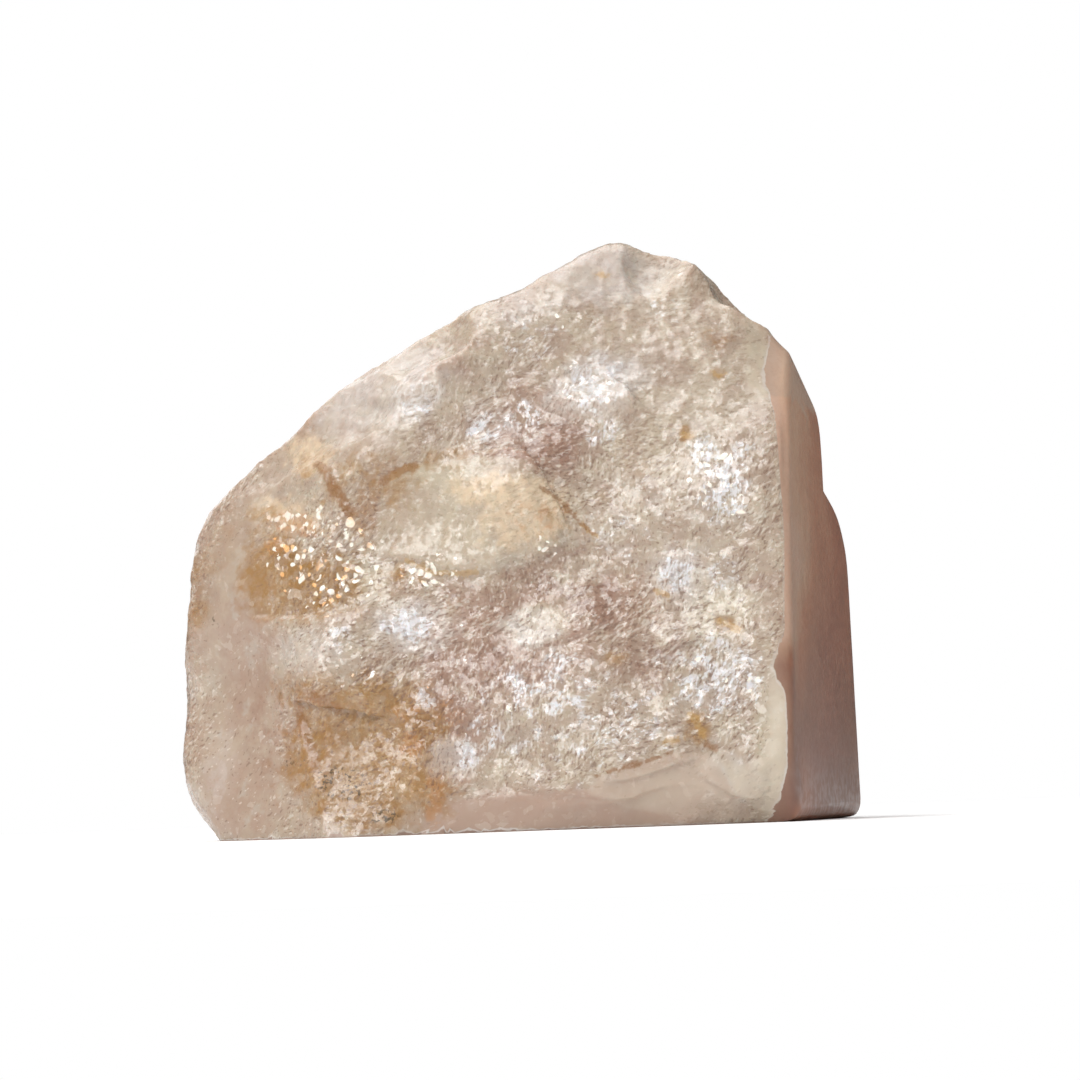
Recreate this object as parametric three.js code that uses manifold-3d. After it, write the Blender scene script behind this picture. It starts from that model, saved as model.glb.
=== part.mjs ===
// A rough rose quartz chunk: broken on its front, top, left and back, sawn flat under its base,
// and sawn and polished on its right side. It is one solid.
// Millimetres. +X to the right, -Y towards the broken front, +Z up, standing on z = 0.
import * as THREE from 'three';
import { mergeVertices } from 'three/addons/utils/BufferGeometryUtils.js';
import Module from 'manifold-3d';

// Every face is measured from the heart, a point inside the stone:
// aim is the face's outward direction, reach its distance from the heart.
const heart = [2, -4, 30];
const cornerSharpness = 40;

const brokenFaces = [
  { name: 'front', aim: [-0.08, -1, 0.13], reach: 13.1 },
  { name: 'front, left end', aim: [-0.6, -0.78, 0.12], reach: 25 },
  { name: 'front, upper left', aim: [-0.42, -0.75, 0.5], reach: 27.2 },
  { name: 'front, under the peak', aim: [0.1, -0.86, 0.42], reach: 26.5 },
  { name: 'front, foot', aim: [0.02, -0.85, -0.5], reach: 29.4 },
  { name: 'left end', aim: [-0.99, 0.05, 0.14], reach: 48 },
  { name: 'left end, foot', aim: [-0.9, -0.1, -0.42], reach: 53 },
  { name: 'left shoulder', aim: [-0.74, 0.05, 0.67], reach: 46.4 },
  { name: 'long slope', aim: [-0.6, 0.1, 0.78], reach: 41.9 },
  { name: 'upper slope', aim: [-0.41, 0.1, 0.905], reach: 41.3 },
  { name: 'peak, left', aim: [-0.36, 0.12, 0.92], reach: 43 },
  { name: 'peak, right', aim: [0.305, 0.1, 0.95], reach: 52.2 },
  { name: 'right slope', aim: [0.7, 0.06, 0.71], reach: 50.5 },
  { name: 'right shoulder', aim: [0.6, 0.62, 0.5], reach: 51 },
  { name: 'back, left end', aim: [-0.5, 0.86, 0.1], reach: 33.4 },
];
// The back is two blocks deep: a low one, and a thinner one that rises behind it to the peak.
const lowerBack = [
  { name: 'back', aim: [0.03, 0.99, 0.06], reach: 27.6 },
  { name: 'back edge', aim: [0.02, 0.74, 0.67], reach: 25.9 },
  { name: 'back shelf', aim: [0.4, 0.134, 0.87], reach: 34.9 },
];
const upperBack = [
  { name: 'upper back', aim: [0.03, 0.99, 0.04], reach: 11.8 },
];
// The rough block stands past each sawn face by its allowance until it is cut.
const sawnSide = { aim: [0.958, -0.2855, 0], reach: 37.9, allowance: 0.4 };
const sawnBase = { aim: [0, 0, -1], reach: heart[2], allowance: 3 };
// Breakage dies out towards a sawn face, sawnFade times as fast as that face's share grows.
const sawnFade = 2.5;

// Shell-shaped scars that were knocked out of a face: at is a point near the middle of the scar,
// width its radius there and depth how deep its middle lies.
const scars = [
  { name: 'under the leaf', at: [3, -20, 30], width: 9, depth: 0.9 },
  { name: 'left basin', at: [-27, -16, 36], width: 9, depth: 1.1 },
  { name: 'brown hollow', at: [-21, -17, 12], width: 10, depth: 1.1 },
  { name: 'foot strip', at: [2, -20, 1], width: 13, depth: 1.2 },
  { name: 'foot facet', at: [17, -21, 3], width: 8.5, depth: 0.8 },
  { name: 'right shell', at: [29, -22, 15], width: 9.5, depth: 0.7 },
  { name: 'middle dish', at: [16, -19, 34], width: 12, depth: 0.8 },
  { name: 'upper dish', at: [3, -14, 58], width: 13, depth: 0.9 },
  { name: 'right dish', at: [27, -16, 58], width: 11, depth: 0.7 },
  { name: 'left cheek', at: [-38, -8, 20], width: 13, depth: 0.9 },
  { name: 'front dish', at: [-12, -18, 20], width: 9, depth: 0.6 },
  { name: 'notch by the peak', at: [21.6, -9, 79], width: 4.6, depth: 1.7 },
  { name: 'right slope dip', at: [32.4, -9, 72], width: 5.5, depth: 2.2 },
  { name: 'slope dip', at: [-11, -9, 68], width: 7, depth: 1 },
  { name: 'back hollow', at: [-6, 22, 20], width: 19, depth: 2.6 },
  { name: 'back chip', at: [28, 23, 14], width: 13, depth: 1.6 },
  { name: 'back left chip', at: [-34, 15, 22], width: 14, depth: 2 },
  { name: 'upper back hollow', at: [8, 7, 60], width: 15, depth: 1.5 },
  { name: 'upper back chip', at: [30, 4, 57], width: 9, depth: 1 },
];
// A scar is used within scarReach times its width, and only where the face is this rough.
const scarReach = 1.5;
const scarRoughness = 0.25;

// Smaller scars lie all over the broken faces, in a spiral order from front to back. The depths are
// those of a scar as wide as depthWidth. Each spot is off the spiral by up to half of scatter.
const smallScars = {
  count: 150, widthLow: 3.5, widthHigh: 9.5, depthLow: 0.25, depthHigh: 0.95, depthWidth: 8, scatter: 8,
};
// Steps, in turns, by which the spots, widths and depths vary from one scar to the next.
const variety = { across: 0.618, up: 0.414, width: 0.7549, depth: 0.5698 };

// Ledges on the front, each a line of x and z: the stone stands out by rise on the left hand of
// the line as it is followed, and falls back to the face over the distance fade.
const ledges = [
  {
    name: 'leaf, lower edge',
    line: [[-12, 36], [-6, 35], [0, 36.5], [5, 38], [8.5, 39.5]],
    rise: 1.4, fade: 9,
  },
  { name: 'leaf, left edge', line: [[-20, 38.5], [-14, 37.5], [-9, 35.5]], rise: 0.6, fade: 7 },
  {
    name: 'leaf, right edge',
    line: [[8.5, 39.5], [7, 42], [4, 47], [2, 50], [-5, 51.5]],
    rise: 0.6, fade: 5,
  },
  { name: 'foot facet', line: [[9, 7], [15, 8], [20, 9.5], [25, 9]], rise: 0.8, fade: 6 },
  {
    name: 'foot strip',
    line: [[-14, 1], [-11, 4], [-3, 4.8], [8, 5], [14, 4], [18, 1]],
    rise: 0.5, fade: 6,
  },
  { name: 'right lobe', line: [[22, 9.5], [24.5, 6], [28, 3.5], [33, 2.5]], rise: 0.7, fade: 6 },
  { name: 'right shell', line: [[19, 23.5], [26, 24.5], [33, 22]], rise: 0.6, fade: 7 },
  { name: 'cream lobe', line: [[-1, 25], [4, 24.5], [9, 26.5], [14, 28]], rise: 0.5, fade: 5 },
  { name: 'frosty patch', line: [[-18, 29], [-14, 26.5], [-9, 25]], rise: 0.5, fade: 5 },
  { name: 'left basin', line: [[-18, 33], [-22, 30.5], [-30, 30], [-37, 31]], rise: 0.9, fade: 7 },
  { name: 'brown hollow', line: [[-31, 19], [-27, 18.6], [-24, 17.2], [-18, 15]], rise: 0.8, fade: 7 },
  { name: 'brown wall', line: [[-26, 6], [-28.5, 12], [-29.5, 17]], rise: 0.8, fade: 8 },
  { name: 'bright crest', line: [[-1, 63], [4, 60.5], [9, 57], [16, 57], [20, 58.5]], rise: 0.9, fade: 7 },
  { name: 'right crest', line: [[22, 45], [26, 41.5], [33, 40.5]], rise: 0.6, fade: 6 },
  { name: 'right line', line: [[34, 38], [27, 36], [20, 37]], rise: 0.5, fade: 5 },
  { name: 'upper left crest', line: [[-21, 60], [-13, 57.5], [-6, 59]], rise: 0.6, fade: 6 },
];
// Each ledge rises within ledgeStep, and dies out over ledgeTaper of its length at both ends.
const ledgeStep = 2.2;
const ledgeTaper = 0.2;
// Ledges start where a face looks this much to the front, and are full at twice that.
const frontFacing = 0.3;

// Long low swells run through all broken faces.
const swells = [
  { along: [1, 0.4, 0.3], length: 33, rise: 0.45, start: 0.4 },
  { along: [0.2, -0.5, 1], length: 27, rise: 0.4, start: 2.1 },
  { along: [-0.8, 0.3, 1], length: 19, rise: 0.3, start: 4 },
  { along: [1, 1, -0.6], length: 14, rise: 0.22, start: 1.2 },
  { along: [0.3, 1, 0.9], length: 11, rise: 0.18, start: 3.3 },
];

// No relief is stretched more than a face at this slant to its ray stretches it.
const leastSlant = 0.3;

// The surface starts as the grid of a box about as large as the stone, placed around the heart
// and thinned, as the stone is, by taper towards its top and towards its left end.
const box = { size: [98, 44, 84], centre: [-1, 8, 9], steps: [46, 13, 38], taper: 0.45 };
const sawBlockSize = 200;
const sameSpot = 1e-4;

function dot(a, b) {
  return a[0] * b[0] + a[1] * b[1] + a[2] * b[2];
}

function plus(a, b, scale = 1) {
  return [a[0] + b[0] * scale, a[1] + b[1] * scale, a[2] + b[2] * scale];
}

function unit(a) {
  return plus([0, 0, 0], a, 1 / Math.hypot(...a));
}

function limited(value) {
  return Math.min(1, Math.max(0, value));
}

function eased(value) {
  const v = limited(value);
  return v * v * (3 - 2 * v);
}

function fraction(value) {
  return value - Math.floor(value);
}

for (const face of [...brokenFaces, ...lowerBack, ...upperBack, sawnSide, sawnBase]) {
  face.aim = unit(face.aim);
}
for (const swell of swells) {
  swell.along = unit(swell.along);
}

// How strongly a set of faces holds back a ray from the heart, and the way they push it.
function holdBack(faces, ray) {
  let strength = 0;
  let push = [0, 0, 0];
  for (const face of faces) {
    const reach = face.reach + (face.allowance ?? 0);
    const share = Math.max(0, dot(ray, face.aim)) / reach;
    const power = share ** (cornerSharpness - 1);
    strength += power * share;
    push = plus(push, face.aim, power / reach);
  }
  return { strength, push };
}

// The stone before its scars: where a ray leaves it, the face's direction there, and how much of
// that place belongs to the broken faces (1) or to the sawn ones (0).
function plainSurface(ray) {
  const broken = holdBack(brokenFaces, ray);
  const low = holdBack(lowerBack, ray);
  const high = holdBack(upperBack, ray);
  const back = low.strength < high.strength ? low : high;
  const sawn = holdBack([sawnSide, sawnBase], ray);
  const strength = broken.strength + back.strength + sawn.strength;
  const length = strength ** (-1 / cornerSharpness);
  const normal = unit(plus(plus(broken.push, back.push), sawn.push));
  const rough = limited(1 - (sawnFade * sawn.strength) / strength);
  return { length, normal, rough, point: plus(heart, ray, length) };
}

// A scar is the part of a large ball that dips into the face.
function scarBall(towards, width, depth) {
  const { point, normal, rough } = plainSurface(towards);
  const radius = (width ** 2 + depth ** 2) / (2 * depth);
  const centre = plus(point, normal, radius - depth);
  return { radius, centre, middle: point, width, depth, rough };
}

// Where along a spiral around the stone the small scar with this number lies, seen from the heart.
function scarPlace(number) {
  const turn = Math.PI * (3 - Math.sqrt(5)) * number;
  const y = 1 - (2 * number + 1) / smallScars.count;
  const ring = Math.sqrt(1 - y * y);
  const across = smallScars.scatter * (fraction(number * variety.across) - 0.5);
  const up = smallScars.scatter * (fraction(number * variety.up) - 0.5);
  return [
    box.centre[0] + (box.size[0] / 2) * ring * Math.cos(turn) + across,
    box.centre[1] + (box.size[1] / 2) * y,
    box.centre[2] + (box.size[2] / 2) * ring * Math.sin(turn) + up,
  ];
}

function allScars() {
  const balls = scars.map((scar) => scarBall(plus(scar.at, heart, -1), scar.width, scar.depth));
  const { widthLow, widthHigh, depthLow, depthHigh, depthWidth } = smallScars;
  for (let i = 0; i < smallScars.count; i += 1) {
    const width = widthLow + (widthHigh - widthLow) * fraction(i * variety.width) ** 2;
    const depth = depthLow + (depthHigh - depthLow) * fraction(i * variety.depth);
    balls.push(scarBall(scarPlace(i), width, (depth * width) / depthWidth));
  }
  return balls.filter((ball) => ball.rough > scarRoughness);
}

// Where a ray from the heart first meets a ball, or infinity.
function meet(ray, ball) {
  const towards = plus(ball.centre, heart, -1);
  const square = dot(ray, ray);
  const along = dot(ray, towards);
  const root = along ** 2 - square * (dot(towards, towards) - ball.radius ** 2);
  return root > 0 ? (along - Math.sqrt(root)) / square : Infinity;
}

function ledgeHeight(ledge, x, z) {
  let nearest = Infinity;
  let side = 0;
  let place = 0;
  let run = 0;
  for (let i = 1; i < ledge.line.length; i += 1) {
    const [ax, az] = ledge.line[i - 1];
    const [bx, bz] = ledge.line[i];
    const length = Math.hypot(bx - ax, bz - az);
    const ux = (bx - ax) / length;
    const uz = (bz - az) / length;
    const along = Math.min(length, Math.max(0, (x - ax) * ux + (z - az) * uz));
    const distance = Math.hypot(x - ax - along * ux, z - az - along * uz);
    if (distance < nearest) {
      nearest = distance;
      side = Math.sign(ux * (z - az) - uz * (x - ax));
      place = run + along;
    }
    run += length;
  }
  const off = nearest * side;
  const taper = eased(Math.min(place, run - place) / (run * ledgeTaper));
  const step = eased(off / ledgeStep + 0.5);
  return ledge.rise * taper * step * Math.exp(-Math.max(off, 0) / ledge.fade);
}

function relief(point, normal) {
  let height = 0;
  for (const swell of swells) {
    height += swell.rise * Math.sin((2 * Math.PI * dot(point, swell.along)) / swell.length + swell.start);
  }
  const facingFront = limited(-normal[1] / frontFacing - 1);
  for (const ledge of ledges) {
    height += facingFront * ledgeHeight(ledge, point[0], point[2]);
  }
  return height;
}

function surfacePoint(ray, balls) {
  const plain = plainSurface(ray);
  let { length } = plain;
  const facing = dot(plain.normal, ray);
  for (const ball of balls) {
    const away = plus(plain.point, ball.middle, -1);
    if (dot(away, away) < (scarReach * ball.width) ** 2) {
      const deepest = plain.length - ball.depth / facing;
      length = Math.min(length, Math.max(deepest, meet(ray, ball)));
    }
  }
  length = plain.length + (length - plain.length) * plain.rough;
  const outwards = plus(plain.point, heart, -1);
  const reach = Math.max(dot(plain.normal, outwards), leastSlant * Math.hypot(...outwards));
  length *= 1 + (plain.rough * relief(plain.point, plain.normal)) / reach;
  return plus(heart, ray, length);
}

function closed(geometry) {
  geometry.deleteAttribute('normal');
  geometry.deleteAttribute('uv');
  return mergeVertices(geometry, sameSpot);
}

// A spot on the starting box, moved towards y = 0 where the box is thinned.
function taperedRay(x, y, z) {
  const top = box.centre[2] + box.size[2] / 2;
  const left = box.size[0] / 2 - box.centre[0];
  const thinTop = 1 - (box.taper * Math.max(0, z)) / top;
  const thinLeft = 1 - (box.taper * Math.max(0, -x)) / left;
  return [x, y * thinTop * thinLeft, z];
}

function roughBlock() {
  const geometry = closed(new THREE.BoxGeometry(...box.size, ...box.steps).translate(...box.centre));
  const position = geometry.attributes.position;
  const balls = allScars();
  for (let i = 0; i < position.count; i += 1) {
    const ray = taperedRay(position.getX(i), position.getY(i), position.getZ(i));
    position.setXYZ(i, ...surfacePoint(ray, balls));
  }
  return geometry;
}

// A block whose one face is the saw cut, standing outside the stone.
function sawBlock(cut) {
  const geometry = closed(new THREE.BoxGeometry(sawBlockSize, sawBlockSize, sawBlockSize));
  const right = new THREE.Vector3(1, 0, 0);
  const turn = new THREE.Quaternion().setFromUnitVectors(right, new THREE.Vector3(...cut.aim));
  const centre = plus(heart, cut.aim, cut.reach + sawBlockSize / 2);
  return geometry.applyQuaternion(turn).translate(...centre);
}

const wasm = await Module();
wasm.setup();

function toSolid(geometry) {
  const vertProperties = new Float32Array(geometry.attributes.position.array);
  const triVerts = new Uint32Array(geometry.index.array);
  return new wasm.Manifold(new wasm.Mesh({ numProp: 3, vertProperties, triVerts }));
}

function toGeometry(solid) {
  const mesh = solid.getMesh();
  const geometry = new THREE.BufferGeometry();
  geometry.setAttribute('position', new THREE.BufferAttribute(mesh.vertProperties, 3));
  geometry.setIndex(new THREE.BufferAttribute(mesh.triVerts, 1));
  return geometry;
}

const roseQuartz = new THREE.MeshStandardMaterial({ color: 0xd3b8a8, roughness: 0.35, metalness: 0 });

function buildStone() {
  const rough = toSolid(roughBlock());
  const sawn = rough.subtract(toSolid(sawBlock(sawnBase))).subtract(toSolid(sawBlock(sawnSide)));
  const geometry = toGeometry(sawn);
  geometry.computeBoundingBox();
  const middle = geometry.boundingBox.getCenter(new THREE.Vector3());
  geometry.translate(-middle.x, -middle.y, 0);
  const mesh = new THREE.Mesh(geometry, roseQuartz);
  mesh.name = 'rose_quartz_chunk';
  return mesh;
}

const group = new THREE.Group();
group.add(buildStone());
export default group;
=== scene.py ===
import math
import bpy
import numpy as np
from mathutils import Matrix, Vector


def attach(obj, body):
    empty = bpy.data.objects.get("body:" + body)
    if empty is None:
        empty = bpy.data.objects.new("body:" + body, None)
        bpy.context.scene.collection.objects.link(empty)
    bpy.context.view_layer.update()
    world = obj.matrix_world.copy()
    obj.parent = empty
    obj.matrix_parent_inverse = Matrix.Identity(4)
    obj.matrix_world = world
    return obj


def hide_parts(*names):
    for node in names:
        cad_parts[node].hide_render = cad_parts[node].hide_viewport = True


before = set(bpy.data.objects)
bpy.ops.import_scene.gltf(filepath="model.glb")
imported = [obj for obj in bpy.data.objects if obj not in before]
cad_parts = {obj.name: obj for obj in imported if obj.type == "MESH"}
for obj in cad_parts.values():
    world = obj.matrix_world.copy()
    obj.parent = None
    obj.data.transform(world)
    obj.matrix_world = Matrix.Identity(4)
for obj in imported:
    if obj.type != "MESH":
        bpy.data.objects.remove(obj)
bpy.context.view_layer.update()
mm = 0.001

# The stone's form in millimetres, measured from its heart as the solid is.
# Faces are the way they look and how far they lie from the heart.
form = {
    "heart": (2, -4, 30),
    "middle": (0.965, 1.671),  # the frame's origin, seen from above
    "cornerSharpness": 40,
    "brokenFaces": [
        ((-0.08, -1, 0.13), 13.1), ((-0.6, -0.78, 0.12), 25), ((-0.42, -0.75, 0.5), 27.2),
        ((0.1, -0.86, 0.42), 26.5), ((0.02, -0.85, -0.5), 29.4), ((-0.99, 0.05, 0.14), 48),
        ((-0.9, -0.1, -0.42), 53), ((-0.74, 0.05, 0.67), 46.4), ((-0.6, 0.1, 0.78), 41.9),
        ((-0.41, 0.1, 0.905), 41.3), ((-0.36, 0.12, 0.92), 43), ((0.305, 0.1, 0.95), 52.2),
        ((0.7, 0.06, 0.71), 50.5), ((0.6, 0.62, 0.5), 51), ((-0.5, 0.86, 0.1), 33.4),
    ],
    "lowerBack": [((0.03, 0.99, 0.06), 27.6), ((0.02, 0.74, 0.67), 25.9), ((0.4, 0.134, 0.87), 34.9)],
    "upperBack": [((0.03, 0.99, 0.04), 11.8)],
    "sawnSide": ((0.958, -0.2855, 0), 37.9),
    "sawnBase": ((0, 0, -1), 30),
    "baseAllowance": 3,
    "footRadius": 2.2,
    "sawnFade": 2.5,
    "leastSlant": 0.3,
    "swells": [
        ((1, 0.4, 0.3), 33, 0.45, 0.4), ((0.2, -0.5, 1), 27, 0.4, 2.1),
        ((-0.8, 0.3, 1), 19, 0.3, 4), ((1, 1, -0.6), 14, 0.22, 1.2), ((0.3, 1, 0.9), 11, 0.18, 3.3),
    ],
    # x, z, width and rise of soft knobs and dips along the outline
    "knobs": [
        (24.5, 74.5, 3, 1.5), (18.6, 78, 2.2, -0.6), (-4, 71.5, 3.5, 0.8), (-32, 56, 4, -0.7),
        (40.5, 58, 4, 0.6), (-45, 0, 4.5, -0.9),
    ],
    "boxSize": (98, 44, 84),  # the grid that is thrown onto the stone
    "boxCentre": (-1, 8, 9),
    "boxSteps": (282, 84, 240),
    "boxTaper": 0.45,
}

# Each scar: a spot near its middle, its radius there, and how deep its middle lies.
scars = {
    "underLeaf": ((3, -20, 30), 9, 0.9),
    "leftBasin": ((-27, -16, 36), 9, 1.1),
    "brownHollow": ((-21, -17, 12), 10, 1.1),
    "footStrip": ((2, -20, 1), 13, 1.2),
    "footFacet": ((17, -21, 3), 8.5, 0.8),
    "rightShell": ((29, -22, 15), 9.5, 0.7),
    "middleDish": ((16, -19, 34), 12, 0.8),
    "upperDish": ((3, -14, 58), 13, 0.9),
    "rightDish": ((27, -16, 58), 11, 0.7),
    "leftCheek": ((-38, -8, 20), 13, 0.9),
    "frontDish": ((-12, -18, 20), 9, 0.6),
    "peakNotch": ((21.6, -9, 79), 4.6, 1.7),
    "rightSlopeDip": ((32.4, -9, 72), 5.5, 2.2),
    "slopeDip": ((-11, -9, 68), 7, 1),
    "backHollow": ((-6, 22, 20), 19, 2.6),
    "backChip": ((28, 23, 14), 13, 1.6),
    "backLeftChip": ((-34, 15, 22), 14, 2),
    "upperBackHollow": ((8, 7, 60), 15, 1.5),
    "upperBackChip": ((30, 4, 57), 9, 1),
}
smallScars = {
    "count": 150, "widthLow": 3.5, "widthHigh": 9.5, "depthLow": 0.25, "depthHigh": 0.95,
    "depthWidth": 8, "scatter": 8, "reach": 1.5, "roughness": 0.25,
    "turnAcross": 0.618, "turnUp": 0.414, "turnWidth": 0.7549, "turnDepth": 0.5698,
}

# Each ledge: its line of x and z, how far the stone stands out on its left hand, and the fade.
ledges = {
    "leafLower": ([(-12, 36), (-6, 35), (0, 36.5), (5, 38), (8.5, 39.5)], 1.1, 9),
    "leafLeft": ([(-20, 38.5), (-14, 37.5), (-9, 35.5)], 0.6, 7),
    "leafRight": ([(8.5, 39.5), (7, 42), (4, 47), (2, 50), (-5, 51.5)], 0.6, 5),
    "footFacet": ([(9, 7), (15, 8), (20, 9.5), (25, 9)], 0.4, 6),
    "footStrip": ([(-14, 1), (-11, 4), (-3, 4.8), (8, 5), (14, 4), (18, 1)], 0.3, 6),
    "rightLobe": ([(22, 9.5), (24.5, 6), (28, 3.5), (33, 2.5)], 0.7, 6),
    "rightShell": ([(19, 23.5), (26, 24.5), (33, 22)], 0.6, 7),
    "creamLobe": ([(-1, 25), (4, 24.5), (9, 26.5), (14, 28)], 0.5, 5),
    "frostyPatch": ([(-18, 29), (-14, 26.5), (-9, 25)], 0.5, 5),
    "leftBasin": ([(-18, 33), (-22, 30.5), (-30, 30), (-37, 31)], 0.9, 7),
    "brownHollow": ([(-31, 19), (-27, 18.6), (-24, 17.2), (-18, 15)], 0.8, 7),
    "brownWall": ([(-26, 6), (-28.5, 12), (-29.5, 17)], 0.8, 8),
    "brightCrest": ([(-1, 63), (4, 60.5), (9, 57), (16, 57), (20, 58.5)], 0.9, 7),
    "rightCrest": ([(22, 45), (26, 41.5), (33, 40.5)], 0.6, 6),
    "rightLine": ([(34, 38), (27, 36), (20, 37)], 0.5, 5),
    "upperLeftCrest": ([(-21, 60), (-13, 57.5), (-6, 59)], 0.6, 6),
}
ledgeMaking = {"step": 0.9, "taper": 0.2, "frontFacing": 0.3}

heart = np.array(form["heart"])


def unit(vector):
    vector = np.asarray(vector, float)
    return vector / np.linalg.norm(vector, axis=-1, keepdims=True)


def eased(value):
    value = np.clip(value, 0, 1)
    return value * value * (3 - 2 * value)


def fraction(value):
    return value - math.floor(value)


def holdBack(faces, rays):
    strength = np.zeros(len(rays))
    push = np.zeros((len(rays), 3))
    for aim, reach in faces:
        share = np.maximum(0, rays @ unit(aim)) / reach
        power = share ** (form["cornerSharpness"] - 1)
        strength += power * share
        push += power[:, None] * unit(aim) / reach
    return strength, push


def plainSurface(rays):
    broken, brokenPush = holdBack(form["brokenFaces"], rays)
    low, lowPush = holdBack(form["lowerBack"], rays)
    high, highPush = holdBack(form["upperBack"], rays)
    baseAim, baseReach = form["sawnBase"]
    sawnFaces = [form["sawnSide"], (baseAim, baseReach + form["baseAllowance"])]
    sawn, sawnPush = holdBack(sawnFaces, rays)
    useLow = low < high
    strength = broken + np.where(useLow, low, high) + sawn
    push = brokenPush + np.where(useLow[:, None], lowPush, highPush) + sawnPush
    length = strength ** (-1 / form["cornerSharpness"])
    rough = np.clip(1 - form["sawnFade"] * sawn / strength, 0, 1)
    return length, unit(push), rough, heart + rays * length[:, None]


# a scar is the bite of a ball that rests on the plain surface
def scarBall(towards, width, depth):
    length, normal, rough, point = plainSurface(np.array([towards], float))
    radius = (width ** 2 + depth ** 2) / (2 * depth)
    return {"centre": point[0] + normal[0] * (radius - depth), "radius": radius, "middle": point[0],
            "width": width, "depth": depth, "rough": rough[0]}


# the named scars, then small ones spread evenly all round on a spiral
def allScars():
    size, centre = form["boxSize"], form["boxCentre"]
    balls = [scarBall(np.array(spot) - heart, width, depth) for spot, width, depth in scars.values()]
    wide = smallScars["widthHigh"] - smallScars["widthLow"]
    deep = smallScars["depthHigh"] - smallScars["depthLow"]
    turn = math.pi * (3 - math.sqrt(5))
    for i in range(smallScars["count"]):
        y = 1 - (2 * i + 1) / smallScars["count"]
        ring = math.sqrt(1 - y * y)
        across = smallScars["scatter"] * (fraction(i * smallScars["turnAcross"]) - 0.5)
        up = smallScars["scatter"] * (fraction(i * smallScars["turnUp"]) - 0.5)
        towards = (
            centre[0] + size[0] / 2 * ring * math.cos(turn * i) + across,
            centre[1] + size[1] / 2 * y,
            centre[2] + size[2] / 2 * ring * math.sin(turn * i) + up,
        )
        width = smallScars["widthLow"] + wide * fraction(i * smallScars["turnWidth"]) ** 2
        depth = smallScars["depthLow"] + deep * fraction(i * smallScars["turnDepth"])
        balls.append(scarBall(towards, width, depth * width / smallScars["depthWidth"]))
    return [ball for ball in balls if ball["rough"] > smallScars["roughness"]]


# distance to a line of points, positive on its left hand, and the place along it
def nearLine(line, x, z):
    nearest = np.full(len(x), 1e9)
    side = np.zeros(len(x))
    place = np.zeros(len(x))
    run = 0
    for (ax, az), (bx, bz) in zip(line[:-1], line[1:]):
        length = math.hypot(bx - ax, bz - az)
        ux, uz = (bx - ax) / length, (bz - az) / length
        along = np.clip((x - ax) * ux + (z - az) * uz, 0, length)
        distance = np.hypot(x - ax - along * ux, z - az - along * uz)
        closer = distance < nearest
        nearest = np.where(closer, distance, nearest)
        side = np.where(closer, np.sign(ux * (z - az) - uz * (x - ax)), side)
        place = np.where(closer, run + along, place)
        run += length
    return nearest * side, place, run


def relief(points, normals):
    height = np.zeros(len(points))
    for along, length, rise, start in form["swells"]:
        height += rise * np.sin(2 * math.pi * (points @ unit(along)) / length + start)
    for x, z, width, rise in form["knobs"]:
        away = (points[:, 0] - x) ** 2 + (points[:, 2] - z) ** 2
        height += rise * np.exp(-away / width ** 2)
    facingFront = np.clip(-normals[:, 1] / ledgeMaking["frontFacing"] - 1, 0, 1)
    for line, rise, fade in ledges.values():
        off, place, run = nearLine(line, points[:, 0], points[:, 2])
        taper = eased(np.minimum(place, run - place) / (run * ledgeMaking["taper"]))
        step = eased(off / ledgeMaking["step"] + 0.5)
        height += facingFront * rise * taper * step * np.exp(-np.maximum(off, 0) / fade)
    return height


# how far inside the sawn side each point lies
def insideSide(points):
    aim, reach = form["sawnSide"]
    return reach - (points - heart) @ unit(aim)


# the corner between the sawn side and the base is worn round
def roundFoot(surface):
    radius = form["footRadius"]
    into = np.maximum(0, radius - np.stack((insideSide(surface), surface[:, 2]), axis=1))
    away = np.maximum(np.linalg.norm(into, axis=1), radius)[:, None]
    shift = into - into * radius / away
    both = (into > 0).all(axis=1)
    surface[both] -= shift[both, :1] * unit(form["sawnSide"][0])
    surface[both, 2] += shift[both, 1]


def stoneSurface(rays):
    plain, normals, rough, points = plainSurface(rays)
    square = (rays * rays).sum(1)
    facing = (normals * rays).sum(1)
    length = plain.copy()
    for ball in allScars():
        towards = ball["centre"] - heart
        along = rays @ towards
        root = along ** 2 - square * (towards @ towards - ball["radius"] ** 2)
        meet = np.where(root > 0, (along - np.sqrt(np.maximum(root, 0))) / square, np.inf)
        near = ((points - ball["middle"]) ** 2).sum(1) < (smallScars["reach"] * ball["width"]) ** 2
        deepest = plain - ball["depth"] / facing
        length = np.where(near, np.minimum(length, np.maximum(meet, deepest)), length)
    length = plain + (length - plain) * rough
    outwards = points - heart
    reach = (normals * outwards).sum(1)
    reach = np.maximum(reach, form["leastSlant"] * np.linalg.norm(outwards, axis=1))
    length *= 1 + rough * relief(points, normals) / reach
    surface = heart + rays * length[:, None]
    for aim, face in (form["sawnSide"], form["sawnBase"]):
        over = np.maximum(0, (surface - heart) @ unit(aim) - face)
        surface -= over[:, None] * unit(aim)
    roundFoot(surface)
    return surface, normals, rough


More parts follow.
